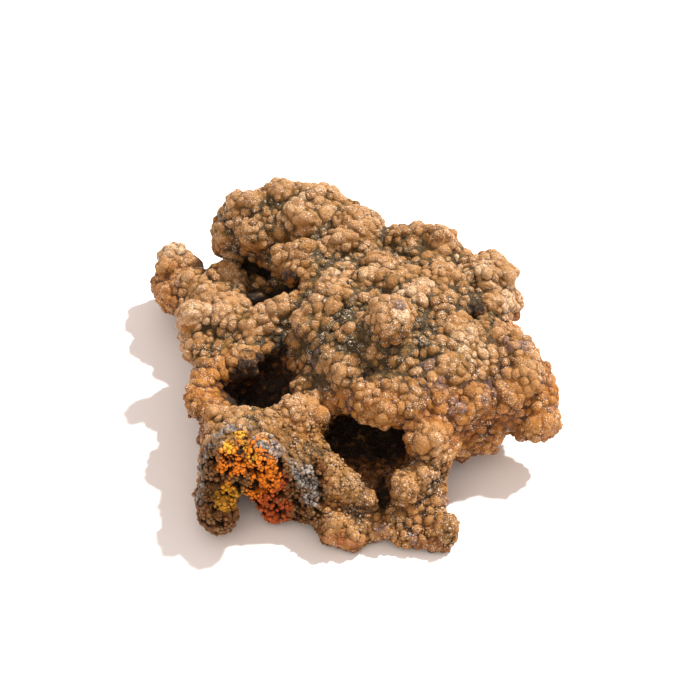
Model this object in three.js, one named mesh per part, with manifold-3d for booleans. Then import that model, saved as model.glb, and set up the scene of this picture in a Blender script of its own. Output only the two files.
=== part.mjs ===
// A hand specimen of mottramite: a lumpy, grape-like crust over a spongy iron-oxide matrix.
// The crust stands up in one broad mass, runs down at the front as a shelf with a foot, and folds over
// at the left like the end of a roof, where the stone is broken across. Caves open between these parts.
// Millimetres, +Z up. +X is right and +Y is away from the viewer. The stone rests on Z = 0, and the
// origin is under the middle of its box.

import * as THREE from "three";
import { mergeVertices } from "three/addons/utils/BufferGeometryUtils.js";
import Module from "manifold-3d";

const wasm = await Module();
wasm.setup();

// Driving dimensions
const crustFacet = 4.2; // length of a facet's side on the lumpy crust
const matrixFacet = 6; // and on the matrix below, and in the hollows
const lumpSpacing = 9; // from one grape-like lump to the next
const lumpRise = 5; // radius of a lump's swell above the creases round it
const grainSpacing = 5; // the same on the small masses at the front, where the crust is finer
const grainRise = 1.4;
const pitSpacing = 6; // from one hollow of the spongy matrix to the next
const pitDepth = 1.1;
const hollowRise = 0.8; // unevenness of a cave's wall
const lumpReach = 0.6; // a lump's radius, as a share of the spacing
const lumpLevel = 0.66; // the part of a swell that lies below the mass's own ellipsoid
const knobSpacing = 6; // from one knob on a plate of crust to the next
const knobRadius = 1.5; // of a middling knob there
const knobInset = 1.25; // how far the knobs keep in from a plate's edge, 1 for none
const floorBlock = 140; // side of the block that planes the feet off at Z = 0
const meltTolerance = 1e-4; // points nearer than this are one

// Masses that the stone has grown together from: centre and half sizes, how far each is turned about X, then
// Y, then Z, in degrees, and how square it is, from 2 for an ellipsoid up.
const crustMasses = [
  { name: "dome", at: [9, 2, 17], half: [21, 18, 13], turn: [-4, 6, -8], square: 2.2 },
  { name: "backRidge", at: [-10, 31, 17], half: [18, 10, 14], turn: [0, 0, -12], square: 2.2 },
  { name: "midRidge", at: [-1, 24, 17], half: [12, 11, 13.5], turn: [0, 0, -20], square: 2.2 },
  { name: "rightBack", at: [14, 18, 17], half: [11, 10, 11.5], square: 2.3 },
  { name: "rightShoulder", at: [24.5, 12, 16.5], half: [9, 10, 11], turn: [0, 0, -20], square: 2.3 },
  { name: "rightFlank", at: [29, -7, 15.5], half: [8.5, 11, 7.5], turn: [0, 14, 12], square: 2.5 },
  { name: "rightCorner", at: [34.5, -14, 12], half: [5, 5, 4.5], square: 2.2 },
  { name: "brow", at: [12, -12, 18.5], half: [17, 11, 7.5], turn: [18, 4, -2], square: 2.4 },
  { name: "innerFlank", at: [-5.5, -9.5, 15.5], half: [5.5, 7, 6.5], square: 2.2 },
  { name: "hangingLump", at: [-9.5, 15.5, 23.5], half: [4.5, 4.5, 5] },
  { name: "leftShoulder", at: [-20, 3.5, 14.5], half: [12.5, 10, 5.5], turn: [6, -10, -10], square: 2.4 },
  { name: "leftLobe", at: [-36.3, 29, 9.5], half: [4.6, 8, 5], square: 2.4 },
  { name: "lobeNeck", at: [-28, 22, 11.5], half: [8, 8, 5.5], turn: [0, -10, 0] },
];
const smallMasses = [
  { name: "upperKnob", at: [-28, -8, 13.5], half: [3.8, 3.3, 3.2] },
  { name: "lowerKnob", at: [-28, -13, 13], half: [3.6, 3.6, 3.4] },
  { name: "archTongue", at: [-23.5, -19, 15], half: [2.8, 8, 3], turn: [-24, 0, 34] },
  { name: "endWall", at: [-25.4, -18.5, 8], half: [2.2, 12, 8.5], turn: [-6, 12, 0], square: 4 },
  { name: "ball", at: [7.2, -7.5, 29.5], half: [3.4, 3.4, 3.4] },
  { name: "footKnob", at: [17.6, -36.5, 4.8], half: [2.6, 2.6, 2.6] },
  { name: "footRoot", at: [15.5, -23, 12], half: [5.2, 6, 4], square: 2.4 },
  { name: "toeBridge", at: [6.8, -35.2, 3.6], half: [3.2, 3.2, 2.8] },
];
const matrixMasses = [
  { name: "underside", at: [4, 8, 8], half: [26, 22, 10], square: 2.4 },
  { name: "rightRoot", at: [22, -12, 9.5], half: [10, 9, 7], turn: [0, -14, 0], square: 2.4 },
  { name: "shoulderRoot", at: [-19, 6, 7], half: [10.5, 11.5, 8.5], square: 2.4 },
  { name: "ridgeRoot", at: [-18, 19, 7], half: [8.5, 8.5, 7.5], square: 2.4 },
  { name: "caveRoot", at: [-19, -12, 3.5], half: [7, 8, 5], square: 2.4 },
  { name: "shelfRoot", at: [-13, -19, 8], half: [9, 7, 8.5], square: 2.4 },
  { name: "caveFloor", at: [5, -20, 3.5], half: [13, 10, 4.5], square: 2.4 },
  { name: "crackFloor", at: [6.5, -29.5, 2.6], half: [4.5, 6, 3.6], square: 2.4 },
];
const hollows = [
  { name: "leftCave", at: [-17, -11.5, 15], half: [7, 6.5, 8] },
  { name: "frontCave", at: [5, -21, 10.5], half: [9, 8, 5] },
  { name: "ridgeGap", at: [-15.5, 16, 19], half: [9, 3.6, 5.5], turn: [0, 0, -40] },
  { name: "shoulderPit", at: [-27, 4, 19], half: [2, 1.4, 3], turn: [0, 0, 20] },
  { name: "rightPit", at: [23.5, -2.5, 27], half: [2, 1.6, 3] },
  { name: "cleft", at: [6, -30.5, 11], half: [1.7, 5, 6], turn: [0, 0, 8] },
];

// Plates of crust, each an outline in its own plane, at the place and turn of that plane. The outer side
// lies in the plane, and the plate is as thick below it as its depth says. The broken end is the section
// of the roof, with the gap between its two legs.
const plates = [
  {
    name: "shelf",
    at: [-5, -28, 12.4],
    turn: [36, 0, 34],
    depth: 4.6,
    round: 1.1,
    knobSeed: 41,
    outline: [
      [-5.4, 14.2], [-0.7, 13.8], [4.3, 12.2], [3.7, 3.7], [4.5, -0.7], [7.6, -7.2], [5.7, -11.5],
      [3.6, -14.5], [5.1, -16.9], [3.3, -19], [-3, -16.6], [-7.2, -11.7], [-5.6, -5.4], [-4.6, 0.8],
      [-6.9, 6.9], [-10.7, 10.9],
    ],
  },
  {
    name: "foot",
    at: [14, -34, 6],
    turn: [37, 0, 12],
    depth: 5,
    round: 1.1,
    knobSeed: 47,
    outline: [
      [-2.6, 9.6], [2.1, 8.9], [6.3, 6], [4.3, 0.2], [6.7, -6.6], [5.5, -8.2], [1.3, -10.9],
      [-1.2, -9.6], [-7, -5.4], [-6.9, -1.8], [-7.2, 4.5], [-6.4, 6.6],
    ],
  },
  {
    name: "brokenEnd",
    at: [0, -35, 0],
    turn: [75, 0, 0],
    depth: 12,
    round: 0,
    outline: [
      [-18.6, 22], [-13.7, 19.6], [-9.1, 14.5], [-7.2, 7.7], [-5.8, 0.8], [-11.9, 1.6], [-14.6, -0.5],
      [-16.8, 2.5], [-19.3, 8.3], [-20.9, 5], [-22.8, -0.5], [-26.5, -0.5], [-27.9, 6.7], [-25.8, 18],
      [-22.7, 20.6],
    ],
  },
];

// The same numbers on every run, from 0 up to 1.
function seededRandom(seed) {
  let state = seed >>> 0;
  return () => {
    state = (state + 0x6d2b79f5) >>> 0;
    let t = state;
    t = Math.imul(t ^ (t >>> 15), t | 1);
    t ^= t + Math.imul(t ^ (t >>> 7), t | 61);
    return ((t ^ (t >>> 14)) >>> 0) / 4294967296;
  };
}

function poseOf(at, turn) {
  const [rx, ry, rz] = turn.map(THREE.MathUtils.degToRad);
  return new THREE.Matrix4().makeRotationFromEuler(new THREE.Euler(rx, ry, rz, "ZYX")).setPosition(...at);
}

// Only positions are kept, and points that meet become one, so that a closed shape is closed for the joins.
function mergedGeometry(geometry) {
  geometry.deleteAttribute("normal");
  geometry.deleteAttribute("uv");
  return mergeVertices(geometry, meltTolerance);
}

// Crowns of the lumps on an ellipsoid, spread on a spiral and shaken out of line.
function lumpCrowns(half, spacing, random) {
  const [a, b, c] = half;
  const meanProduct = ((a * b) ** 1.6 + (a * c) ** 1.6 + (b * c) ** 1.6) / 3;
  const area = 4 * Math.PI * meanProduct ** (1 / 1.6);
  const count = Math.max(6, Math.round(area / (spacing * spacing)));
  const goldenAngle = Math.PI * (3 - Math.sqrt(5));
  const shake = 1.4 / Math.sqrt(count);
  const shaken = () => shake * (random() - 0.5);
  return Array.from({ length: count }, (_, i) => {
    const z = 1 - (2 * i + 1) / count;
    const across = Math.sqrt(1 - z * z);
    const way = new THREE.Vector3(across * Math.cos(goldenAngle * i), across * Math.sin(goldenAngle * i), z);
    way.add(new THREE.Vector3(shaken(), shaken(), shaken()));
    return way.normalize().multiply(new THREE.Vector3(a, b, c));
  });
}

// A closed ellipsoid whose skin rises into lumps, or with a negative rise sinks into pits.
function lumpyGeometry({ at, half, turn = [0, 0, 0], square = 2 }, { facet, spacing, rise }, seed) {
  const meanHalf = (Math.max(...half) + half[0] + half[1] + half[2]) / 4;
  const detail = Math.max(2, Math.round((1.1 * meanHalf) / facet));
  const geometry = mergedGeometry(new THREE.IcosahedronGeometry(1, detail));
  const crowns = lumpCrowns(half, spacing, seededRandom(seed));
  const sizes = new THREE.Vector3(...half);
  const position = geometry.getAttribute("position");
  const point = new THREE.Vector3();
  const outward = new THREE.Vector3();
  for (let i = 0; i < position.count; i++) {
    point.fromBufferAttribute(position, i);
    const powers = point.toArray().map((value) => Math.abs(value) ** square);
    const reach = (powers[0] + powers[1] + powers[2]) ** (-1 / square);
    outward.copy(point).divide(sizes).normalize();
    point.multiplyScalar(reach).multiply(sizes);
    const nearest = Math.min(...crowns.map((crown) => crown.distanceTo(point)));
    const share = Math.min(1, nearest / (lumpReach * spacing));
    point.addScaledVector(outward, rise * (Math.sqrt(1 - 0.9 * share * share) - lumpLevel));
    position.setXYZ(i, point.x, point.y, point.z);
  }
  return geometry.applyMatrix4(poseOf(at, turn));
}

function plateGeometry({ at, turn, depth, round, outline }) {
  const shape = new THREE.Shape(outline.map(([x, y]) => new THREE.Vector2(x, y)));
  const geometry = new THREE.ExtrudeGeometry(shape, {
    depth: depth - 2 * round,
    bevelEnabled: round > 0,
    bevelThickness: round,
    bevelSize: round,
    bevelOffset: -round,
    bevelSegments: 2,
  });
  geometry.translate(0, 0, round - depth);
  return mergedGeometry(geometry).applyMatrix4(poseOf(at, turn));
}

// Whether a point lies inside an outline, by how often a line from it crosses the outline's sides.
function isInside(outline, x, y) {
  const crossings = outline.filter(([ax, ay], i) => {
    const [bx, by] = outline[(i + 1) % outline.length];
    return ay > y !== by > y && x < ax + ((y - ay) * (bx - ax)) / (by - ay);
  });
  return crossings.length % 2 === 1;
}

// Knobs over a plate's outer side, on a grid that is shaken out of line.
function plateKnobs({ at, turn, outline, knobSeed }) {
  const random = seededRandom(knobSeed);
  const knobs = [];
  const xs = outline.map(([x]) => x);
  const ys = outline.map(([, y]) => y);
  for (let row = Math.min(...ys); row < Math.max(...ys); row += knobSpacing) {
    for (let column = Math.min(...xs); column < Math.max(...xs); column += knobSpacing) {
      const x = column + (random() - 0.2) * knobSpacing;
      const y = row + (random() - 0.2) * knobSpacing;
      const radius = knobRadius * (0.75 + 0.6 * random());
      if (isInside(outline, knobInset * x, knobInset * y)) {
        const knob = new THREE.IcosahedronGeometry(radius, 1).translate(x, y, -0.3 * radius);
        knobs.push(mergedGeometry(knob).applyMatrix4(poseOf(at, turn)));
      }
    }
  }
  return knobs;
}

function solidOf(geometry) {
  return new wasm.Manifold(
    new wasm.Mesh({
      numProp: 3,
      vertProperties: geometry.getAttribute("position").array,
      triVerts: new Uint32Array(geometry.index.array),
    }),
  );
}

function geometryOf(solid) {
  const mesh = solid.getMesh();
  return new THREE.BufferGeometry()
    .setAttribute("position", new THREE.BufferAttribute(mesh.vertProperties, 3))
    .setIndex(new THREE.BufferAttribute(mesh.triVerts, 1));
}

function lumpyMasses(masses, relief, firstSeed) {
  return masses.map((mass, i) => lumpyGeometry(mass, relief, firstSeed + i));
}

function specimenSolid() {
  const grown = [
    ...lumpyMasses(matrixMasses, { facet: matrixFacet, spacing: pitSpacing, rise: -pitDepth }, 300),
    ...lumpyMasses(crustMasses, { facet: crustFacet, spacing: lumpSpacing, rise: lumpRise }, 100),
    ...lumpyMasses(smallMasses, { facet: crustFacet, spacing: grainSpacing, rise: grainRise }, 200),
    ...plates.map(plateGeometry),
    ...plates.filter((plate) => plate.knobSeed).flatMap(plateKnobs),
  ];
  const cut = [
    ...lumpyMasses(hollows, { facet: matrixFacet, spacing: lumpSpacing, rise: hollowRise }, 500),
    mergedGeometry(new THREE.BoxGeometry(floorBlock, floorBlock, floorBlock).translate(0, 0, -floorBlock / 2)),
  ];
  const stone = grown.map(solidOf).reduce((whole, solid) => whole.add(solid));
  return cut.map(solidOf).reduce((whole, solid) => whole.subtract(solid), stone);
}

// Moves the stone so that the middle of its box is over the origin.
function centred(geometry) {
  geometry.computeBoundingBox();
  const middle = geometry.boundingBox.getCenter(new THREE.Vector3());
  return geometry.translate(-middle.x, -middle.y, -geometry.boundingBox.min.z);
}

const specimen = new THREE.Mesh(
  centred(geometryOf(specimenSolid())),
  new THREE.MeshStandardMaterial({ color: 0x8a6a35, roughness: 0.55, metalness: 0 }),
);
specimen.name = "mottramite_specimen";

const group = new THREE.Group();
group.add(specimen);

export default group;
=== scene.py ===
import math

import bmesh
import bpy
import numpy as np
from mathutils import Matrix, Vector, noise
from mathutils.bvhtree import BVHTree
from mathutils.kdtree import KDTree


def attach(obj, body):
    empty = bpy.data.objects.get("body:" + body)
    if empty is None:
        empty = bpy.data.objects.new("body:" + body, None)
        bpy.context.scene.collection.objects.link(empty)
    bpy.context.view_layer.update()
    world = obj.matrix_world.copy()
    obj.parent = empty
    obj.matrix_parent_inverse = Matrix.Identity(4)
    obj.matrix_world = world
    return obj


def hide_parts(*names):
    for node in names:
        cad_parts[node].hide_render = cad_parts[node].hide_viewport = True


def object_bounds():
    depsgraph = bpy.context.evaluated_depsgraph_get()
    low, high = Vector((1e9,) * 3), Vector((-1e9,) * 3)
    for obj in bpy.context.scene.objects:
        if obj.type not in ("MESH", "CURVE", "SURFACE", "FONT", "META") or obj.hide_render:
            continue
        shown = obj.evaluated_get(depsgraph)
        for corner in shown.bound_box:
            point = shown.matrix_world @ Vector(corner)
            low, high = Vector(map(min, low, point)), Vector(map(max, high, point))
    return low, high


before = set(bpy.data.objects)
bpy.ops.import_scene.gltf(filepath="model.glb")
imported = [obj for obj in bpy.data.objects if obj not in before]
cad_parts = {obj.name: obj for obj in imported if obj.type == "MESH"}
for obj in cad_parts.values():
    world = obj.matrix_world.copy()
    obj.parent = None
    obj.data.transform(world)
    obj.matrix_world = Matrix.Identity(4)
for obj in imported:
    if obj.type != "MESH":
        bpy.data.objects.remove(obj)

# A hand specimen of mottramite on a pale table: a knobbly crust over spongy iron oxide. Lengths are metres,
# and the dictionaries give them in millimetres where their names end in Mm.

mm = 0.001
hair = 1e-6  # metres: points nearer than this are one
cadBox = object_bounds()

view = {
    "lens": 85.0,  # millimetres, on a sensor 36 wide
    "sensor": 36.0,
    "elevation": 40.0,  # degrees above the table
    "aimMm": (1.0, -0.87, 14.0),
    "distanceMm": 320.0,
    "side": 700,  # pixels of the square picture
}


def cameraAxes():
    tilt = math.radians(view["elevation"])
    back = Vector((0.0, -math.cos(tilt), math.sin(tilt)))
    upward = Vector((0.0, math.sin(tilt), math.cos(tilt)))
    eye = Vector(view["aimMm"]) * mm + back * view["distanceMm"] * mm
    return eye, back, upward


def makeCamera():
    eye, back, upward = cameraAxes()
    camera = bpy.data.objects.new("camera", bpy.data.cameras.new("camera"))
    bpy.context.scene.collection.objects.link(camera)
    camera.data.lens = view["lens"]
    camera.data.sensor_width = view["sensor"]
    camera.data.clip_start = 0.01
    camera.data.clip_end = 20.0
    camera.rotation_mode = "QUATERNION"
    camera.rotation_quaternion = back.to_track_quat("Z", "Y")
    camera.location = eye
    bpy.context.scene.camera = camera


makeCamera()
print("camera is set")


def newPiece(name, bm):
    mesh = bpy.data.meshes.new(name)
    bm.to_mesh(mesh)
    bm.free()
    piece = bpy.data.objects.new(name, mesh)
    bpy.context.scene.collection.objects.link(piece)
    return piece


def applyModifiers(piece):
    bpy.context.view_layer.update()
    graph = bpy.context.evaluated_depsgraph_get()
    made = bpy.data.meshes.new_from_object(piece.evaluated_get(graph), depsgraph=graph)
    piece.modifiers.clear()
    old = piece.data
    piece.data = made
    bpy.data.meshes.remove(old)


def melted(piece, sizeMm):
    remesh = piece.modifiers.new("melt", "REMESH")
    remesh.mode = "VOXEL"
    remesh.voxel_size = sizeMm * mm
    remesh.use_smooth_shade = True
    applyModifiers(piece)


def softened(piece, rounds, factor):
    smooth = piece.modifiers.new("soften", "SMOOTH")
    smooth.iterations = rounds
    smooth.factor = factor
    applyModifiers(piece)


def thinned(piece, triangles):
    share = triangles / (2 * len(piece.data.polygons))
    if share < 1.0:
        thin = piece.modifiers.new("thin", "DECIMATE")
        thin.ratio = share
        applyModifiers(piece)


def placesOf(mesh):
    places = np.zeros(len(mesh.vertices) * 3, np.float32)
    mesh.vertices.foreach_get("co", places)
    return places.reshape(-1, 3).astype(float)


def normalsOf(mesh):
    normals = np.zeros(len(mesh.vertices) * 3, np.float32)
    mesh.vertex_normals.foreach_get("vector", normals)
    return normals.reshape(-1, 3).astype(float)


def movePlaces(mesh, places):
    mesh.vertices.foreach_set("co", places.astype(np.float32).ravel())
    mesh.update()


def deletePiece(piece):
    mesh = piece.data
    bpy.data.objects.remove(piece)
    bpy.data.meshes.remove(mesh)


# Parts of the stone as soft ellipsoids: middle and half sizes in millimetres.
zones = {
    "shelf": {"at": (-5.0, -29.0, 10.0), "half": (13.0, 13.0, 11.0)},
    "foot": {"at": (15.0, -34.5, 6.0), "half": (9.0, 10.5, 8.5)},
    "end": {"at": (-17.0, -39.5, 10.0), "half": (13.0, 6.0, 14.0)},
    "leftWall": {"at": (-28.0, -24.0, 7.0), "half": (4.5, 14.0, 9.0)},
    "arch": {"at": (-25.5, -13.5, 14.5), "half": (6.5, 8.5, 5.0)},
    "lobe": {"at": (-36.0, 24.0, 6.0), "half": (7.5, 9.0, 8.0)},
    "rightFlank": {"at": (33.0, -9.0, 10.0), "half": (14.0, 18.0, 11.0)},
    "browFront": {"at": (14.0, -21.0, 14.0), "half": (22.0, 8.0, 8.0)},
    "shoulderFront": {"at": (-16.0, -6.5, 12.0), "half": (12.0, 6.0, 5.0)},
    "leftCave": {"at": (-16.0, -11.5, 12.0), "half": (7.8, 7.6, 9.0)},
    "frontCave": {"at": (5.0, -18.6, 9.5), "half": (10.0, 9.0, 6.0)},
    "ramp": {"at": (5.0, -27.5, 6.5), "half": (8.5, 6.0, 5.5)},
    "ridgeHoles": {"at": (-14.0, 14.5, 15.0), "half": (9.5, 5.5, 7.0)},
    "crack": {"at": (7.0, -31.4, 9.0), "half": (1.7, 5.6, 7.0)},
    "endGap": {"at": (-18.2, -36.0, 2.0), "half": (4.6, 9.0, 8.0)},
}
thinParts = ("shelf", "foot", "end", "leftWall", "arch")
# caves, holes and the crack, which are painted near black as shade
caveParts = ("leftCave", "frontCave", "ridgeHoles", "crack")


def zoneWeight(name, places, soft=0.4):
    zone = zones[name]
    away = (places / mm - np.array(zone["at"])) / np.array(zone["half"])
    reach = np.linalg.norm(away, axis=1)
    return np.clip((1.0 + soft / 2 - reach) / soft, 0.0, 1.0)


def strongest(names, places):
    return np.maximum.reduce([zoneWeight(name, places) for name in names])


# The broken end. Its rim and gap are in its own plane, across the stone and up the slope of the break, in
# millimetres. Each stain has the pixel of the photograph that it shows at, and its radius in millimetres; the
# near black marks in the deep pits are painted shade.
brokenEnd = {
    "atMm": (1.0, -35.87, 0.0),
    "tilt": 75.0,  # degrees from level
    "depthMm": 2.4,  # how far behind the plane the break still shows
    "acrossMm": (-31.0, -4.5),  # where the break starts and ends
    "pits": {
        "sizeMm": 1.5,
        "from": 0.02,  # noise below this makes no pit
        "slope": 3.6,  # how fast they deepen
        "deepestMm": 2.6,
        "layers": 3,  # of the noise that makes them
        "rimShare": 0.6,  # how much shallower they are at the rim
        "roughMm": 0.35,
        "finer": 4.1,  # how many times finer the roughness is
        "edge": 0.3,  # share of break from which the skin is pitted
    },
    "rim": [
        (-28.5, 6.7), (-26.8, 17.5), (-23.2, 20.8), (-18.6, 22.4), (-13.7, 20.0), (-9.1, 14.9), (-7.2, 8.2),
    ],
    "rimMm": 1.5,  # how far the grey rim reaches to each side
    "gap": [(-22.6, -3.0), (-21.0, 3.0), (-18.3, 8.8), (-15.6, 3.0), (-13.0, -3.0)],  # between the two legs
    "gapDepthMm": (-16.0, 4.0),
    "fire": [
        ((256, 446), 2.6), ((268, 460), 3.0), ((232, 455), 2.2), ((225, 466), 1.8), ((248, 466), 2.4),
        ((264, 476), 2.6), ((236, 470), 1.8), ((230, 490), 1.6), ((254, 490), 1.6),
    ],
    "sulphur": [
        ((238, 431), 1.6), ((228, 498), 2.2), ((236, 492), 1.6), ((224, 504), 1.4), ((254, 457), 1.2),
        ((228, 446), 1.2), ((262, 442), 1.0), ((246, 447), 1.0),
    ],
    "rust": [
        ((262, 498), 3.2), ((270, 514), 3.2), ((262, 530), 2.6), ((280, 524), 2.6), ((277, 482), 2.2),
        ((284, 508), 1.8), ((296, 522), 1.8),
    ],
    # painted shade in the deep pits of the break
    "pit_shade": [
        ((238, 487), 1.5), ((247, 470), 0.9), ((231, 462), 0.8), ((248, 425), 0.6), ((252, 488), 1.0),
        ((240, 452), 0.6),
    ],
}


def breakNormal():
    tilt = math.radians(brokenEnd["tilt"])
    return (0.0, -math.sin(tilt), math.cos(tilt))


def breakRise():
    tilt = math.radians(brokenEnd["tilt"])
    return (0.0, math.cos(tilt), math.sin(tilt))


def onBreak(places):
    # across the break, up it, and out of it, in millimetres
    local = places / mm - np.array(brokenEnd["atMm"])
    return local[:, 0], local @ np.array(breakRise()), local @ np.array(breakNormal())


def outsideGap(places):
    # how far from the gap between the legs, in millimetres, and less than nothing inside it
    across, up, deep = onBreak(places)
    least, most = brokenEnd["gapDepthMm"]
    away = np.maximum(least - deep, deep - most)
    for (ax, ay), (bx, by) in zip(brokenEnd["gap"], brokenEnd["gap"][1:]):
        length = math.hypot(bx - ax, by - ay)
        away = np.maximum(away, ((across - ax) * (ay - by) + (up - ay) * (bx - ax)) / length)
    return away


def gapCutter():
    bm = bmesh.new()
    rise, out = Vector(breakRise()), Vector(breakNormal())
    for across, up in brokenEnd["gap"]:
        for deep in brokenEnd["gapDepthMm"]:
            spot = Vector(brokenEnd["atMm"]) + Vector((across, 0, 0)) + rise * up + out * deep
            bm.verts.new(spot * mm)
    bmesh.ops.convex_hull(bm, input=bm.verts)
    bmesh.ops.recalc_face_normals(bm, faces=bm.faces)
    return newPiece("gap", bm)


def brokenFace(places, normals):
    # how much each point belongs to the break, and to its rim
    out = np.array(breakNormal())
    across, up, deep = onBreak(places)
    least, most = brokenEnd["acrossMm"]
    face = np.clip(1.6 + deep / brokenEnd["depthMm"], 0, 1) * (across < most) * (across > least)
    face *= np.clip(0.4 + 1.6 * (normals @ out), 0, 1)
    rim = np.full(len(places), 1e9)
    for (ax, ay), (bx, by) in zip(brokenEnd["rim"], brokenEnd["rim"][1:]):
        dx, dy = bx - ax, by - ay
        along = np.clip(((across - ax) * dx + (up - ay) * dy) / (dx * dx + dy * dy), 0, 1)
        rim = np.minimum(rim, np.hypot(across - ax - along * dx, up - ay - along * dy))
    return face, np.clip(1.7 - rim / brokenEnd["rimMm"], 0, 1)


# The stone: swells and then knobs of three sizes grow on the plain form, and all melts into one skin.
stone = {
    "formVoxelMm": 0.8,
    "formSinkMm": 1.5,  # how far the plain form lies below the solid's skin
    "thinSinkMm": 0.8,  # the same at the thin walls and plates
    "formSoft": (5, 0.5),  # rounds of smoothing, and how strong
    "voxelMm": 0.36,
    "skinSoft": (1, 0.4),
    "triangles": 197000,
    "seed": 7,
    "tableGapMm": 1.2,  # no knob starts lower than this
    "swellGapMm": 2.5,  # and no swell lower than this
    "gapShare": 0.8,  # distance from the gap of the broken end, as a share of a ball's radius
    "cellMm": 4.8,  # size of the cells in which neighbours are looked for
    "stretch": (0.8, 1.2),  # how far balls are out of round
    "ballPoints": 42,  # of a knob's sphere
    "finerShare": 0.4,  # how much smaller knobs are on the shelf, the end and the left wall
    "meltShare": 0.86,  # size of a melted-in knob against the crisp one that stands over it
    "crispMm": 0.8,  # radius from which knobs also stand over the skin
    "caveLimit": 0.6,  # share of cave from which they don't
    "dents": {"sizeMm": 1.1, "pushMm": 0.75},
    # radii of the balls, how near they stand as a share of both radii, how deep their middles lie as a share
    # of the radius, and how many places are tried
    "swells": {"radiusMm": (2.6, 4.2), "near": 0.56, "sink": (0.4, 0.8), "tries": 60000},
    "bosses": [  # single masses that the photograph shows: pixel, radius, and how deep each lies
        {"at": (391, 318), "radiusMm": 2.9, "sink": 0.45},
        {"at": (330, 464), "radiusMm": 2.6, "sink": -0.2},
        {"at": (338, 479), "radiusMm": 2.6, "sink": -0.3},
        {"at": (351, 489), "radiusMm": 2.4, "sink": -0.4},
        {"at": (366, 494), "radiusMm": 2.2, "sink": -0.4},
        {"at": (406, 486), "radiusMm": 2.4, "sink": -0.3},
        {"at": (420, 474), "radiusMm": 2.4, "sink": -0.1},
        {"at": (336, 413), "radiusMm": 2.4, "sink": 0.2},
        {"at": (376, 408), "radiusMm": 2.6, "sink": 0.3},
        {"at": (398, 416), "radiusMm": 2.4, "sink": 0.3},
        {"at": (262, 307), "radiusMm": 2.8, "sink": -0.4},
        {"at": (282, 307), "radiusMm": 2.8, "sink": -0.3},
        {"at": (424, 462), "radiusMm": 2.0, "sink": -0.3},
        {"at": (403, 483), "radiusMm": 2.5, "sink": -0.7},
        {"at": (414, 472), "radiusMm": 2.3, "sink": -0.6},
        {"at": (344, 478), "radiusMm": 2.5, "sink": -0.6},
    ],
    "holes": [  # small holes of the top and the left cave, in the same way
        {"at": (248, 266), "radiusMm": 2.0, "sink": 0.3},
        {"at": (259, 268), "radiusMm": 2.1, "sink": 0.3},
        {"at": (269, 273), "radiusMm": 1.8, "sink": 0.3},
        {"at": (295, 285), "radiusMm": 2.0, "sink": 0.4},
        {"at": (472, 311), "radiusMm": 1.7, "sink": 0.4},
        {"at": (365, 372), "radiusMm": 1.3, "sink": 0.4},
        {"at": (344, 300), "radiusMm": 1.2, "sink": 0.4},
        {"at": (282, 343), "radiusMm": 2.2, "sink": 0.2},
        {"at": (277, 355), "radiusMm": 2.6, "sink": 0.2},
        {"at": (270, 366), "radiusMm": 2.8, "sink": 0.2},
    ],
    "layers": [
        {"radiusMm": (1.6, 2.1), "near": 0.72, "sink": (0.5, 0.8), "tries": 1300},
        {"radiusMm": (1.0, 1.5), "near": 0.56, "sink": (0.3, 0.72), "tries": 60000},
        {"radiusMm": (0.55, 0.85), "near": 0.62, "sink": (0.1, 0.55), "tries": 60000},
    ],
    "lumps": [  # lumps that the photograph shows over the plain form: pixel, radius, and how deep each lies
        {"at": (313, 398), "radiusMm": 2.3, "sink": 0.5},
        {"at": (322, 408), "radiusMm": 2.0, "sink": 0.3},
        {"at": (330, 402), "radiusMm": 1.7, "sink": 0.2},
        {"at": (325, 425), "radiusMm": 2.2, "sink": 0.5},
        {"at": (333, 438), "radiusMm": 1.9, "sink": 0.4},
        {"at": (300, 392), "radiusMm": 2.2, "sink": 0.6},
        {"at": (288, 388), "radiusMm": 2.0, "sink": 0.5},
        {"at": (383, 310), "radiusMm": 1.2, "sink": 0.3},
        {"at": (392, 307), "radiusMm": 1.0, "sink": 0.3},
        {"at": (401, 311), "radiusMm": 1.1, "sink": 0.2},
        {"at": (405, 320), "radiusMm": 1.0, "sink": 0.3},
        {"at": (396, 318), "radiusMm": 1.2, "sink": 0.4},
        {"at": (387, 318), "radiusMm": 1.1, "sink": 0.4},
        {"at": (380, 320), "radiusMm": 1.1, "sink": 0.3},
        {"at": (386, 327), "radiusMm": 1.1, "sink": 0.4},
        {"at": (396, 328), "radiusMm": 1.2, "sink": 0.4},
    ],
}


def plainForm():
    bm = bmesh.new()
    bm.from_mesh(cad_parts["mottramite_specimen"].data)
    bmesh.ops.remove_doubles(bm, verts=bm.verts, dist=hair)
    form = newPiece("form", bm)
    melted(form, stone["formVoxelMm"])
    softened(form, *stone["formSoft"])
    places = placesOf(form.data)
    thin = strongest(thinParts, places)
    sink = (stone["formSinkMm"] + (stone["thinSinkMm"] - stone["formSinkMm"]) * thin) * mm
    movePlaces(form.data, places - normalsOf(form.data) * sink[:, None])
    return form


def pixelHits(mesh):
    # finds where the line of sight through a pixel meets the stone
    tree = BVHTree.FromPolygons([v.co for v in mesh.vertices], [p.vertices for p in mesh.polygons])
    eye, back, upward = cameraAxes()
    reach = view["lens"] / view["sensor"] * view["side"]

    def hit(pixel):
        across, down = pixel[0] - view["side"] / 2, pixel[1] - view["side"] / 2
        way = (-back * reach + Vector((1, 0, 0)) * across - upward * down).normalized()
        return tree.ray_cast(eye, way)[0]

    return hit


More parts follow.
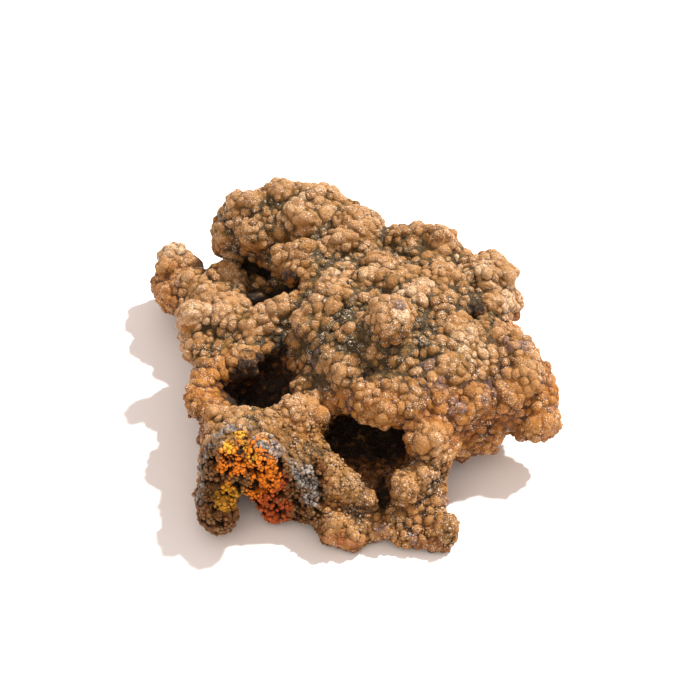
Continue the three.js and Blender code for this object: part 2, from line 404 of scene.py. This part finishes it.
def standClear(points, radii, order, near, grid):
    # the places that keep their distance from all those taken before
    cell = stone["cellMm"] * mm
    kept = []
    for index in order:
        x, y, z = points[index]
        radius = radii[index]
        i, j, k = int(x // cell), int(y // cell), int(z // cell)
        crowd = [
            other
            for di in (-1, 0, 1)
            for dj in (-1, 0, 1)
            for dk in (-1, 0, 1)
            for other in grid.get((i + di, j + dj, k + dk), ())
        ]
        if all(
            (x - a) ** 2 + (y - b) ** 2 + (z - c) ** 2 > (near * (radius + r)) ** 2 for a, b, c, r in crowd
        ):
            kept.append(index)
            grid.setdefault((i, j, k), []).append((x, y, z, radius))
    return kept


def clearOfGap(balls):
    # without the balls that would fill the gap of the broken end
    away = outsideGap(np.array([place for place, normal, radius in balls])) * mm
    return [ball for ball, distance in zip(balls, away) if distance > stone["gapShare"] * ball[2]]


def ballsAtPixels(form, spots):
    # balls where the photograph shows them: place, normal and radius of each
    places, normals = placesOf(form.data), normalsOf(form.data)
    hit = pixelHits(form.data)
    balls = []
    for spot in spots:
        place = np.array(hit(spot["at"]))
        nearest = int(np.argmin(((places - place) ** 2).sum(1)))
        radius = spot["radiusMm"] * mm
        balls.append((place - normals[nearest] * spot["sink"] * radius, normals[nearest], radius))
    return balls


def sunkBalls(kept, places, normals, radii, sinks, rng):
    balls = []
    for index in kept:
        sink = rng.uniform(*sinks) * radii[index]
        balls.append((places[index] - normals[index] * sink, normals[index], radii[index]))
    return balls


def scatteredBalls(layer, places, normals, share, free, grid, rng):
    # balls at random on the free skin, each clear of those before it
    radii = rng.uniform(*layer["radiusMm"], len(places)) * share * mm
    order = [i for i in rng.permutation(len(places))[: layer["tries"]].tolist() if free[i]]
    kept = standClear(places.tolist(), radii.tolist(), order, layer["near"], grid)
    return sunkBalls(kept, places, normals, radii, layer["sink"], rng)


def holeCutter(form):
    cutter = ballPiece("holes", ballsAtPixels(form, stone["holes"]), 2, stone["seed"] + 4)
    melted(cutter, stone["voxelMm"])
    return cutter


def swellsOn(form):
    places, normals = placesOf(form.data), normalsOf(form.data)
    rng = np.random.default_rng(stone["seed"] + 9)
    free = (places[:, 2] > stone["swellGapMm"] * mm) & (strongest(thinParts, places) < 0.5)
    swells = ballsAtPixels(form, stone["bosses"])
    swells += scatteredBalls(stone["swells"], places, normals, 1.0, free, {}, rng)
    swells = clearOfGap(swells)
    print("swells on the form:", len(swells))
    return swells


def knobsOn(form):
    places, normals = placesOf(form.data), normalsOf(form.data)
    rng = np.random.default_rng(stone["seed"])
    share = 1.0 - stone["finerShare"] * strongest(("shelf", "end", "leftWall"), places)
    bare = np.maximum(brokenFace(places, normals)[0], strongest(("crack", "endGap"), places))
    free = (places[:, 2] > stone["tableGapMm"] * mm) & (bare < 0.35)
    knobs = ballsAtPixels(form, stone["lumps"])
    grid = {}
    for layer in stone["layers"]:
        knobs += scatteredBalls(layer, places, normals, share, free, grid, rng)
    knobs = clearOfGap(knobs)
    print("knobs on the stone:", len(knobs))
    return knobs


def cutOut(piece, cutter):
    away = piece.modifiers.new("away", "BOOLEAN")
    away.operation = "DIFFERENCE"
    away.object = cutter
    away.solver = "EXACT"
    applyModifiers(piece)
    deletePiece(cutter)


def ballPiece(name, balls, rounds, seed, batch=100):
    # every ball is turned with the skin and a little out of round
    rng = np.random.default_rng(seed)
    whole = bmesh.new()
    for start in range(0, len(balls), batch):
        part = bmesh.new()
        for place, normal, radius in balls[start : start + batch]:
            stretch = Matrix.Diagonal((*(radius * rng.uniform(*stone["stretch"], 3)), 1.0))
            turn = Vector(normal).to_track_quat("Z", "Y").to_matrix().to_4x4()
            shape = Matrix.Translation(Vector(place)) @ turn @ stretch
            bmesh.ops.create_icosphere(part, subdivisions=rounds, radius=1.0, matrix=shape)
        mesh = bpy.data.meshes.new("batch")
        part.to_mesh(mesh)
        part.free()
        whole.from_mesh(mesh)
        bpy.data.meshes.remove(mesh)
    return newPiece(name, whole)


def growOnto(form, balls, share):
    smaller = [(place, normal, radius * share) for place, normal, radius in balls]
    grown = ballPiece("grown", smaller, 2, stone["seed"] + 1)
    bm = bmesh.new()
    bm.from_mesh(form.data)
    bm.from_mesh(grown.data)
    bm.to_mesh(form.data)
    bm.free()
    deletePiece(grown)


def planedAtTable(piece):
    # the feet are flat where the stone rests
    height = 0.02 * mm
    bm = bmesh.new()
    bm.from_mesh(piece.data)
    cut = bmesh.ops.bisect_plane(
        bm,
        geom=[*bm.verts, *bm.edges, *bm.faces],
        plane_co=(0.0, 0.0, height),
        plane_no=(0.0, 0.0, -1.0),
        clear_outer=True,
        dist=hair,
    )
    rim = [g for g in cut["geom_cut"] if isinstance(g, bmesh.types.BMEdge)]
    bmesh.ops.holes_fill(bm, edges=rim, sides=0)
    bmesh.ops.translate(bm, verts=bm.verts, vec=(0.0, 0.0, -height))
    bmesh.ops.triangulate(bm, faces=[f for f in bm.faces if len(f.verts) > 4])
    bm.to_mesh(piece.data)
    bm.free()


def fittedToBox(pieces):
    # brings the pieces together to the size of the solid
    low, high = np.array(cadBox[0]), np.array(cadBox[1])
    least = np.min([placesOf(piece.data).min(0) for piece in pieces], 0)
    most = np.max([placesOf(piece.data).max(0) for piece in pieces], 0)
    share = (high - low) / (most - least)
    print("size against the solid's:", np.round(1 / share, 3))
    for piece in pieces:
        places = (placesOf(piece.data) - (most + least) / 2) * share + (high + low) / 2
        movePlaces(piece.data, places)


def pushedOutOfRound(piece):
    # soft dents and swells of about a knob's size
    clouds = bpy.data.textures.new("dents", "CLOUDS")
    clouds.noise_scale = stone["dents"]["sizeMm"] * mm
    clouds.noise_depth = 1
    push = piece.modifiers.new("dents", "DISPLACE")
    push.texture = clouds
    push.texture_coords = "LOCAL"
    push.strength = stone["dents"]["pushMm"] * mm
    push.mid_level = 0.5
    applyModifiers(piece)


def pitted(piece):
    # the break is eaten out by pores
    pits = brokenEnd["pits"]
    places, normals = placesOf(piece.data), normalsOf(piece.data)
    face, rim = brokenFace(places, normals)
    inward = -np.array(breakNormal())
    for index in np.flatnonzero(face > pits["edge"]).tolist():
        spot = Vector(places[index]) / (pits["sizeMm"] * mm)
        deep = noise.fractal(spot, 1.0, 2.0, pits["layers"]) * (1.0 - pits["rimShare"] * rim[index])
        hole = min(max(deep - pits["from"], 0.0) * pits["slope"], pits["deepestMm"])
        rough = noise.noise(spot * pits["finer"]) * pits["roughMm"]
        places[index] += inward * (hole + rough) * face[index] * mm
    movePlaces(piece.data, places)


def smoothShaded(piece):
    piece.data.polygons.foreach_set("use_smooth", [True] * len(piece.data.polygons))
    piece.data.update()


form = plainForm()
print("form:", len(form.data.polygons), "faces")
growOnto(form, swellsOn(form), 1.0)
melted(form, stone["formVoxelMm"])
cutOut(form, gapCutter())
cutOut(form, holeCutter(form))
melted(form, stone["formVoxelMm"])
knobs = knobsOn(form)
growOnto(form, knobs, stone["meltShare"])
melted(form, stone["voxelMm"])
print("melted:", len(form.data.polygons), "faces")
softened(form, *stone["skinSoft"])
pitted(form)
thinned(form, stone["triangles"])
planedAtTable(form)
crust = form
crust.name = crust.data.name = "mottramite_crust_and_matrix"
inCaves = strongest(caveParts, np.array([k[0] for k in knobs]))
openKnobs = [k for k, cave in zip(knobs, inCaves) if cave < stone["caveLimit"]]
crisp = [k for k in openKnobs if k[2] > stone["crispMm"] * mm]
crispKnobs = [
    ballPiece("crust_knobs_left", [k for k in crisp if k[0][0] < 0.0], 2, stone["seed"] + 2),
    ballPiece("crust_knobs_right", [k for k in crisp if k[0][0] >= 0.0], 2, stone["seed"] + 3),
]
for piece in crispKnobs:
    pushedOutOfRound(piece)
fittedToBox([crust, *crispKnobs])
for piece in (crust, *crispKnobs):
    smoothShaded(piece)
    print(piece.name, sum(len(f.vertices) - 2 for f in piece.data.polygons), "triangles")


def averaged(values, ends, counts):
    total = np.zeros_like(values)
    for column in range(values.shape[1]):
        total[:, column] = np.bincount(ends[:, 0], values[ends[:, 1], column], len(values))
        total[:, column] += np.bincount(ends[:, 1], values[ends[:, 0], column], len(values))
    return total / counts[:, None]


def standingOut(mesh, rounds):
    # how far each point stands out of the skin, in millimetres, once that is smoothed so many times
    places, normals = placesOf(mesh), normalsOf(mesh)
    ends = np.zeros(len(mesh.edges) * 2, np.int32)
    mesh.edges.foreach_get("vertices", ends)
    ends = ends.reshape(-1, 2)
    counts = np.bincount(ends.ravel(), minlength=len(places)).astype(float)
    smooth = places.copy()
    found = []
    for step in range(1, max(rounds) + 1):
        smooth = averaged(smooth, ends, counts)
        if step in rounds:
            found.append(((places - smooth) * normals).sum(1) / mm)
    return found


def keepValues(mesh, name, values):
    attribute = mesh.attributes.new(name, "FLOAT", "POINT")
    attribute.data.foreach_set("value", np.asarray(values, np.float32))


# Stains and marks on the stone, each with its pixel and radius as on the broken end. The light marks are
# painted light and the shade marks painted shade, which make the skin paler and darker; the marks in the
# holes are painted shade, the cream marks are partly paler crust and partly painted highlight, and ember is
# the orange edge below the shelf and the foot.
marks = {
    # partly paler crust, partly painted highlight on the crowns
    "cream_and_highlight": [
        ((350, 258), 2.6), ((405, 292), 2.4), ((425, 282), 1.8), ((465, 340), 3.0), ((478, 352), 2.4),
        ((478, 268), 2.6), ((508, 298), 3.6), ((400, 312), 1.8), ((455, 262), 2.0), ((300, 195), 2.0),
        ((336, 274), 2.4), ((370, 268), 2.0), ((175, 250), 2.6), ((240, 285), 2.0), ((200, 312), 3.0),
        ((425, 300), 1.2), ((515, 310), 2.4), ((285, 210), 1.6),
    ],
    # painted shade inside the holes of the top and the left cave
    "hole_shade": [
        ((248, 266), 2.6), ((259, 268), 2.6), ((269, 273), 2.2), ((295, 285), 2.4), ((472, 311), 1.9),
        ((365, 372), 1.2), ((344, 300), 1.1), ((282, 343), 2.0), ((277, 355), 2.6), ((270, 366), 2.8),
    ],
    "shade": [
        ((222, 215), 4.0), ((226, 240), 3.0), ((300, 340), 4.0), ((316, 352), 4.0), ((290, 360), 3.0),
        ((352, 315), 3.5), ((362, 332), 2.5), ((396, 341), 3.0), ((428, 358), 2.6), ((320, 386), 3.0),
        ((472, 300), 2.4), ((404, 228), 2.4), ((330, 300), 2.4), ((345, 345), 2.6), ((425, 325), 2.0),
        ((250, 240), 3.0), ((310, 250), 2.4), ((456, 300), 2.0),
    ],
    "light": [
        ((200, 300), 5.0), ((235, 300), 5.0), ((260, 310), 4.0), ((215, 330), 4.0), ((185, 315), 4.0),
        ((455, 262), 6.0), ((490, 282), 6.0), ((330, 212), 6.0), ((362, 224), 5.0), ((283, 190), 4.0),
        ((475, 345), 4.0), ((505, 320), 4.0), ((215, 312), 6.0), ((300, 440), 5.0), ((320, 470), 4.0),
        ((285, 410), 4.0), ((205, 480), 4.0), ((202, 450), 4.0),
    ],
    "ember": [
        ((292, 527), 2.0), ((305, 531), 1.8), ((322, 534), 1.8), ((338, 540), 1.8), ((355, 545), 1.6),
        ((372, 546), 1.6), ((425, 556), 1.4), ((446, 560), 1.6), ((463, 545), 1.6), ((283, 522), 2.0),
    ],
    "violet": [
        ((493, 385), 2.0), ((500, 372), 1.4), ((487, 396), 1.6), ((456, 408), 1.8), ((440, 385), 1.7),
        ((395, 305), 1.2), ((553, 412), 1.3), ((528, 312), 1.4), ((445, 500), 1.4), ((380, 528), 1.4),
        ((310, 485), 1.8), ((317, 500), 1.8), ((414, 538), 1.6), ((218, 525), 1.8), ((280, 445), 1.8),
        ((160, 287), 0.9), ((176, 284), 1.1), ((522, 345), 1.6), ((350, 405), 1.6), ((315, 360), 1.6),
        ((430, 362), 1.6), ((508, 345), 1.6),
    ],
}


# How the skin's relief is read for its colours: the rounds of smoothing that show what stands out, and the
# height over which the colour changes.
reliefLook = {
    "crown": {"rounds": 8, "heightMm": 0.36},
    "swell": {"rounds": 110, "heightMm": 2.6},
    "lowMm": 15.0,  # the ochre of the foot of the stone ends here
    "underMm": 9.0,  # and bare matrix shows below this, where the skin faces down
}


def markWeight(places, spots, hit):
    weight = np.zeros(len(places))
    for pixel, radiusMm in spots:
        spot = hit(pixel)
        if spot is not None:
            away = np.linalg.norm(places - np.array(spot), axis=1) / (radiusMm * mm)
            weight = np.maximum(weight, np.clip(1.5 - away, 0, 1))
    return weight


def stonePaint(mesh):
    # what the material reads at each point of the skin, from 0 to 1
    places, normals = placesOf(mesh), normalsOf(mesh)
    crown, swell = reliefLook["crown"], reliefLook["swell"]
    near, far = standingOut(mesh, (crown["rounds"], swell["rounds"]))
    hit = pixelHits(mesh)
    values = {}
    values["tint"] = np.full(len(places), 0.5)
    values["crown"] = np.clip(0.5 + near / crown["heightMm"], 0, 1)
    values["swell"] = np.clip(0.5 + far / swell["heightMm"], 0, 1)
    down = np.clip(0.35 - normals[:, 2], 0, 1)
    low = np.clip(1.0 - places[:, 2] / mm / reliefLook["lowMm"], 0, 1)
    ochre = strongest(("rightFlank", "browFront", "shoulderFront", "lobe", "arch"), places)
    ochre = np.maximum(ochre, down)
    ochre = np.maximum(ochre, 0.7 * zoneWeight("leftWall", places))
    ochre = np.maximum(ochre, 0.4 * strongest(("foot", "shelf"), places))
    values["ochre"] = np.clip(ochre + 0.35 * low, 0, 1)
    under = np.clip(-normals[:, 2] * 1.6, 0, 1)
    under *= np.clip(1.5 - places[:, 2] / mm / reliefLook["underMm"], 0, 1)
    values["matrix"] = np.maximum(under, 0.8 * zoneWeight("ramp", places))
    # the caves, holes and crack, to be painted near black as shade
    values["cave"] = strongest(caveParts, places)
    values["olive"] = strongest(("shelf", "foot"), places)
    for name, spots in marks.items():
        values[name] = markWeight(places, spots, hit)
    face, rim = brokenFace(places, normals)
    values["broken"] = face
    values["rim"] = face * rim
    for name in ("fire", "sulphur", "rust", "pit_shade"):
        values[name] = markWeight(places, brokenEnd[name], hit)
    return values


paint = stonePaint(crust.data)
for name, values in paint.items():
    keepValues(crust.data, name, values)
print("paint is laid out")


def paintBalls(piece, count, sources, outward):
    # each ball takes the paint of the skin below it, lighter at its crown (partly its own colour, partly
    # painted highlight), and a tint of its own
    corners = len(piece.data.vertices) // count
    places = placesOf(piece.data).reshape(count, corners, 3)
    away = places - places.mean(1)[:, None]
    height = (away * outward[:, None]).sum(2) / np.linalg.norm(away, axis=2)
    tint = np.random.default_rng(count).random(count)
    for name, values in paint.items():
        if name not in ("crown", "tint"):
            keepValues(piece.data, name, np.repeat(values[sources], corners))
    keepValues(piece.data, "crown", np.clip(0.42 + 0.42 * height, 0, 1).ravel())
    keepValues(piece.data, "tint", np.repeat(tint, corners))


def paintKnobs(pieces):
    skin, normals = placesOf(crust.data), normalsOf(crust.data)
    tree = KDTree(len(skin))
    for index, place in enumerate(skin.tolist()):
        tree.insert(place, index)
    tree.balance()
    for piece in pieces:
        middles = placesOf(piece.data).reshape(-1, stone["ballPoints"], 3).mean(1)
        sources = [tree.find(middle)[1] for middle in middles.tolist()]
        paintBalls(piece, len(middles), sources, normals[sources])


paintKnobs(crispKnobs)
print("knobs are painted")


# Grains of the finer crust: on the shelf, the foot, the left wall, the break and the matrix below.
grains = {
    "radiusMm": (0.26, 0.58),
    "near": 0.62,
    "sink": (-0.1, 0.45),
    "tries": 60000,
    "most": 9500,
    "seed": 21,
    "thinShare": 0.5,  # how densely they stand on the shelf, the foot and the left wall
    "breakShare": 0.8,  # and on the break
    "edgeMm": 0.75,  # how far they keep from the sides of the solid's box
    "tableGapMm": 0.8,  # and from the table
    "gapMm": -1.0,  # how far they may stand into the gap of the broken end
}


def growGrains():
    places, normals = placesOf(crust.data), normalsOf(crust.data)
    rng = np.random.default_rng(grains["seed"])
    share = grains["thinShare"] * strongest(("shelf", "foot", "leftWall"), places)
    share = np.maximum(share, grains["breakShare"] * paint["broken"])
    share = np.maximum(share, paint["matrix"]) * (paint["cave"] < stone["caveLimit"])
    inside = np.ones(len(places), bool)
    for axis in range(3):
        inside &= places[:, axis] > cadBox[0][axis] + grains["edgeMm"] * mm
        inside &= places[:, axis] < cadBox[1][axis] - grains["edgeMm"] * mm
    inside &= (outsideGap(places) > grains["gapMm"]) & (places[:, 2] > grains["tableGapMm"] * mm)
    chosen = np.flatnonzero((rng.random(len(places)) < share) & inside)
    order = rng.permutation(chosen)[: grains["tries"]].tolist()
    radii = rng.uniform(*grains["radiusMm"], len(places)) * mm
    kept = standClear(places.tolist(), radii.tolist(), order, grains["near"], {})[: grains["most"]]
    balls = sunkBalls(kept, places, normals, radii, grains["sink"], rng)
    piece = ballPiece("crust_grains", balls, 1, grains["seed"] + 1)
    paintBalls(piece, len(balls), kept, normals[kept])
    smoothShaded(piece)
    print("grains:", len(balls), "with", len(piece.data.polygons), "triangles")
    return piece


grit = growGrains()


class Paint:
    # a few short words for building a material's nodes
    def __init__(self, name):
        self.material = bpy.data.materials.new(name)
        self.material.use_nodes = True
        self.tree = self.material.node_tree
        self.shader = self.tree.nodes["Principled BSDF"]
        self.place = self.tree.nodes.new("ShaderNodeTexCoord").outputs["Object"]

    def wire(self, value, socket):
        if isinstance(value, (int, float, tuple)):
            socket.default_value = value
        else:
            self.tree.links.new(value, socket)

    def value(self, name):
        node = self.tree.nodes.new("ShaderNodeAttribute")
        node.attribute_name = name
        return node.outputs["Fac"]

    def sum(self, kind, first, second=0.0, clamp=False):
        node = self.tree.nodes.new("ShaderNodeMath")
        node.operation = kind
        node.use_clamp = clamp
        self.wire(first, node.inputs[0])
        self.wire(second, node.inputs[1])
        return node.outputs[0]

    def spread(self, value, low, high, to=(0.0, 1.0)):
        node = self.tree.nodes.new("ShaderNodeMapRange")
        self.wire(value, node.inputs["Value"])
        node.inputs["From Min"].default_value = low
        node.inputs["From Max"].default_value = high
        node.inputs["To Min"].default_value = to[0]
        node.inputs["To Max"].default_value = to[1]
        return node.outputs["Result"]

    def noise(self, sizeMm, detail=3.0, rough=0.5, shift=0.0):
        place = self.place
        if shift:
            mapping = self.tree.nodes.new("ShaderNodeMapping")
            self.wire(self.place, mapping.inputs["Vector"])
            mapping.inputs["Location"].default_value = (shift, shift, shift)
            place = mapping.outputs["Vector"]
        node = self.tree.nodes.new("ShaderNodeTexNoise")
        self.wire(place, node.inputs["Vector"])
        node.inputs["Scale"].default_value = 1.0 / (sizeMm * mm)
        node.inputs["Detail"].default_value = detail
        node.inputs["Roughness"].default_value = rough
        return node.outputs["Fac"]

    def cells(self, sizeMm):
        node = self.tree.nodes.new("ShaderNodeTexVoronoi")
        self.wire(self.place, node.inputs["Vector"])
        node.inputs["Scale"].default_value = 1.0 / (sizeMm * mm)
        return node.outputs["Distance"]

    def mix(self, share, first, second):
        node = self.tree.nodes.new("ShaderNodeMix")
        node.data_type = "RGBA"
        self.wire(share, node.inputs["Factor"])
        self.wire(first, node.inputs[6])  # colour A
        self.wire(second, node.inputs[7])  # colour B
        return node.outputs[2]

    def nearby(self, reachMm):
        # how open the skin is to what lies around it, low in creases: read for painted shade
        node = self.tree.nodes.new("ShaderNodeAmbientOcclusion")
        node.samples = crustTexture["openSamples"]
        node.inputs["Distance"].default_value = reachMm * mm
        return node.outputs["AO"]

    def bump(self, height, depthMm, strength=1.0, before=None):
        node = self.tree.nodes.new("ShaderNodeBump")
        self.wire(height, node.inputs["Height"])
        node.inputs["Distance"].default_value = depthMm * mm
        node.inputs["Strength"].default_value = strength
        if before is not None:
            self.wire(before, node.inputs["Normal"])
        return node.outputs["Normal"]


crustLook = {
    # painted shade in the creases between the knobs
    "crease_shade": (0.014, 0.008, 0.003, 1),
    "olive": (0.076, 0.044, 0.010, 1),
    "oliveLight": (0.180, 0.100, 0.020, 1),
    "tan": (0.320, 0.138, 0.023, 1),
    # the crowns' colour, partly painted highlight
    "pink": (0.480, 0.255, 0.098, 1),
    "ochre": (0.350, 0.112, 0.006, 1),
    "ochreLight": (0.460, 0.185, 0.022, 1),
    "ochreDark": (0.170, 0.052, 0.006, 1),
    # partly paler crust, partly painted highlight on the crowns
    "cream_and_highlight": (0.640, 0.430, 0.240, 1),
    "violet": (0.170, 0.105, 0.110, 1),
    "matrix": (0.330, 0.125, 0.032, 1),
    "cave": (0.007, 0.003, 0.0015, 1),
    # painted shade: near black inside the caves and holes
    "ash": (0.470, 0.410, 0.350, 1),
    "slate": (0.130, 0.108, 0.105, 1),
    # the orange of the core, as bright as it goes: partly painted light on the break
    "fire": (1.000, 0.270, 0.006, 1),
    "sulphur": (1.000, 0.480, 0.030, 1),
    "rust": (0.500, 0.078, 0.005, 1),
    "brown": (0.270, 0.140, 0.045, 1),
    # painted shade: near black in the deep pits of the break
    "pit_shade": (0.012, 0.006, 0.004, 1),
    # painted glint: white specks on the crowns
    "painted_glint": (1.000, 0.940, 0.850, 1),
}


# Sizes of the crust's patterns, its shine and its fine relief.
crustTexture = {
    "patchMm": 5.0,
    "grainMm": 0.9,
    "raggedMm": 1.3,
    "ashMm": 1.1,
    # painted glints: size of the specks and of the patches they gather in
    "glintMm": 0.26,
    "glintPatchMm": 2.6,
    "sheenMm": 0.6,
    "openMm": 1.3,  # how far off another surface gives a crease painted shade
    "openSamples": 6,
    "specular": 0.3,
    "relief": {  # size, depth and strength
        "lumps": (0.9, 0.65, 1.0),
        "beads": (0.7, 0.30, 0.8),
        "crystals": (0.30, 0.22, 1.0),
        "dust": (0.18, 0.14, 1.0),
    },
}


def fineRelief(p):
    relief = crustTexture["relief"]
    sizeMm, depthMm, strength = relief["lumps"]
    normal = p.bump(p.noise(sizeMm, 4.0, 0.7), depthMm, strength)
    for name in ("beads", "crystals"):
        sizeMm, depthMm, strength = relief[name]
        normal = p.bump(p.cells(sizeMm), depthMm, strength, normal)
    sizeMm, depthMm, strength = relief["dust"]
    return p.bump(p.noise(sizeMm, 2.0, 0.6), depthMm, strength, normal)


def crustMaterial():
    look, size = crustLook, crustTexture
    p = Paint("mottramite crust")
    crown, swell = p.value("crown"), p.value("swell")
    patch = p.noise(size["patchMm"], 3.0)
    grain = p.noise(size["grainMm"], 4.0, 0.6)
    # olive in the valleys, tan and pink on the crowns: partly the crust's own colour, partly painted shade
    # low and painted highlight high
    openness = p.nearby(size["openMm"])
    height = p.sum("ADD", p.sum("MULTIPLY", crown, 0.6), p.sum("MULTIPLY", swell, 0.45))
    # painted shade and painted light from the shade and light marks
    height = p.sum("ADD", height, p.spread(p.value("shade"), 0.0, 1.0, (0.02, -0.26)))
    height = p.sum("ADD", height, p.spread(p.value("light"), 0.0, 1.0, (0.0, 0.13)))
    # painted light: the shelf and the foot are lifted toward the paler olive
    height = p.sum("ADD", height, p.spread(p.value("olive"), 0.0, 1.0, (0.0, 0.10)))
    # painted shade: closed-in creases turn to darker olive
    height = p.sum("ADD", height, p.spread(openness, 0.35, 1.0, (-0.36, 0.06)))
    height = p.sum("ADD", height, p.spread(p.value("tint"), 0.0, 1.0, (-0.24, 0.22)))
    height = p.sum("ADD", height, p.spread(patch, 0.3, 0.7, (-0.20, 0.22)))
    height = p.sum("ADD", height, p.spread(grain, 0.3, 0.7, (-0.10, 0.10)))
    colour = p.mix(p.spread(height, 0.30, 0.52), look["olive"], look["oliveLight"])
    colour = p.mix(p.spread(height, 0.46, 0.66), colour, look["tan"])
    colour = p.mix(p.spread(height, 0.68, 1.04), colour, look["pink"])
    # the ochre likewise darker low and paler high: partly its own colour, partly painted shade and highlight
    ochre = p.mix(p.spread(height, 0.30, 0.62), look["ochreDark"], look["ochre"])
    ochre = p.mix(p.spread(height, 0.68, 1.04), ochre, look["ochreLight"])
    ochreShare = p.sum("MULTIPLY", p.value("ochre"), p.spread(patch, 0.30, 0.58, (0.55, 1.0)), True)
    colour = p.mix(ochreShare, colour, ochre)
    olive = p.mix(p.spread(height, 0.42, 0.66), look["olive"], look["oliveLight"])
    oliveShare = p.sum("MULTIPLY", p.value("olive"), p.spread(patch, 0.35, 0.6, (0.5, 0.05)))
    colour = p.mix(oliveShare, colour, olive)
    # stains with ragged edges; the cream on the crowns is partly paler crust and partly painted highlight
    ragged = p.noise(size["raggedMm"], 4.0, 0.65, shift=0.4)
    worn = p.spread(ragged, 0.35, 0.62, (-0.35, 0.35))
    creamAndHighlightShare = p.spread(p.sum("ADD", p.value("cream_and_highlight"), p.sum("MULTIPLY", worn, 1.6)), 0.5, 1.2)
    creamAndHighlightShare = p.sum("MULTIPLY", creamAndHighlightShare, p.spread(crown, 0.35, 0.7), True)
    colour = p.mix(creamAndHighlightShare, colour, look["cream_and_highlight"])
    violetShare = p.sum("ADD", p.value("violet"), p.sum("MULTIPLY", worn, 1.4))
    colour = p.mix(p.spread(violetShare, 0.5, 1.3, (0.0, 0.75)), colour, look["violet"])
    ember = p.mix(p.spread(ragged, 0.40, 0.60), look["rust"], look["matrix"])
    colour = p.mix(p.spread(p.sum("ADD", p.value("ember"), worn), 0.4, 1.0, (0.0, 0.9)), colour, ember)
    matrix = p.mix(p.spread(ragged, 0.35, 0.65), look["matrix"], look["ochreDark"])
    colour = p.mix(p.value("matrix"), colour, matrix)
    # the broken end: grey rim, orange and yellow core, and painted shade in its deep pits
    broken = p.mix(p.spread(ragged, 0.4, 0.6), look["brown"], look["ochreDark"])
    for name, low, high in (("rust", 0.35, 0.8), ("fire", 0.3, 0.7), ("sulphur", 0.35, 0.8)):
        broken = p.mix(p.spread(p.sum("ADD", p.value(name), worn), low, high), broken, look[name])
    ash = p.noise(size["ashMm"], 3.0, 0.6, shift=0.9)
    ash = p.mix(p.spread(ash, 0.42, 0.58), look["ash"], look["slate"])
    rimShare = p.sum("ADD", p.value("rim"), p.sum("MULTIPLY", worn, 1.6))
    broken = p.mix(p.spread(rimShare, 0.55, 0.95), broken, ash)
    # painted shade in the deep pits
    broken = p.mix(p.spread(p.sum("ADD", p.value("pit_shade"), worn), 0.5, 0.9), broken, look["pit_shade"])
    colour = p.mix(p.value("broken"), colour, broken)
    # painted shade: the caves, the holes and the crack go near black
    deep = p.sum("MAXIMUM", p.value("cave"), p.value("hole_shade"))
    caveShare = p.spread(p.sum("ADD", deep, worn), 0.40, 0.90, (0.0, 0.95))
    colour = p.mix(caveShare, colour, look["cave"])
    # painted shade: near black lines in the creases between the knobs; painted glints: white specks on the
    # crowns
    colour = p.mix(p.spread(openness, 0.86, 0.38, (0.0, 0.90)), colour, look["crease_shade"])
    # painted glints: white specks on the crowns, fewer in the caves and on the break
    glint = p.spread(p.noise(size["glintMm"], 2.0, 0.6, shift=0.3), 0.585, 0.63)
    glintPatch = p.noise(size["glintPatchMm"], 2.0, shift=0.7)
    glint = p.sum("MULTIPLY", glint, p.spread(glintPatch, 0.40, 0.58, (0.1, 1.0)))
    glint = p.sum("MULTIPLY", glint, p.spread(crown, 0.35, 0.75, (0.15, 0.8)))
    dull = p.sum("MAXIMUM", deep, p.value("broken"))
    glint = p.sum("MULTIPLY", glint, p.spread(dull, 0.0, 0.6, (1.0, 0.0)), True)
    colour = p.mix(glint, colour, look["painted_glint"])
    p.wire(colour, p.shader.inputs["Base Color"])
    sheen = p.spread(p.noise(size["sheenMm"], 2.0), 0.3, 0.7, (0.38, 0.70))
    p.wire(sheen, p.shader.inputs["Roughness"])
    p.wire(fineRelief(p), p.shader.inputs["Normal"])
    p.shader.inputs["Specular IOR Level"].default_value = size["specular"]
    return p.material


crustPaint = crustMaterial()
for piece in (crust, grit, *crispKnobs):
    piece.data.materials.clear()
    piece.data.materials.append(crustPaint)
    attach(piece, "root")
    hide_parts("mottramite_specimen")


table = {"half": 3.0, "colour": (0.93, 0.92, 0.92, 1), "roughness": 0.8}


def makeTable():
    bm = bmesh.new()
    bmesh.ops.create_grid(bm, x_segments=1, y_segments=1, size=table["half"])
    top = newPiece("table", bm)
    p = Paint("pale table")
    p.shader.inputs["Base Color"].default_value = table["colour"]
    p.shader.inputs["Roughness"].default_value = table["roughness"]
    top.data.materials.append(p.material)


light = {
    "sun": {"energy": 6.4, "angle": 0.06, "colour": (1.0, 0.97, 0.93), "towards": (0.61, 0.5, 1.0)},
    "fill": {"energy": 0.95, "angle": 1.2, "colour": (1.0, 0.82, 0.64), "towards": (-0.2, -1.0, 0.8)},
    "sky": 0.72,
    "skyColour": (1.0, 0.89, 0.85, 1),
}


def makeSun(name):
    look = light[name]
    sun = bpy.data.objects.new(name, bpy.data.lights.new(name, "SUN"))
    bpy.context.scene.collection.objects.link(sun)
    sun.data.energy = look["energy"]
    sun.data.angle = look["angle"]
    sun.data.color = look["colour"]
    sun.rotation_mode = "QUATERNION"
    sun.rotation_quaternion = Vector(look["towards"]).to_track_quat("Z", "Y")


def makeSky():
    room = bpy.data.worlds.new("room")
    bpy.context.scene.world = room
    room.use_nodes = True
    background = room.node_tree.nodes["Background"]
    background.inputs["Color"].default_value = light["skyColour"]
    background.inputs["Strength"].default_value = light["sky"]


makeTable()
makeSun("sun")
makeSun("fill")
makeSky()
bpy.context.scene.view_settings.view_transform = "Standard"
print("table and light are set")
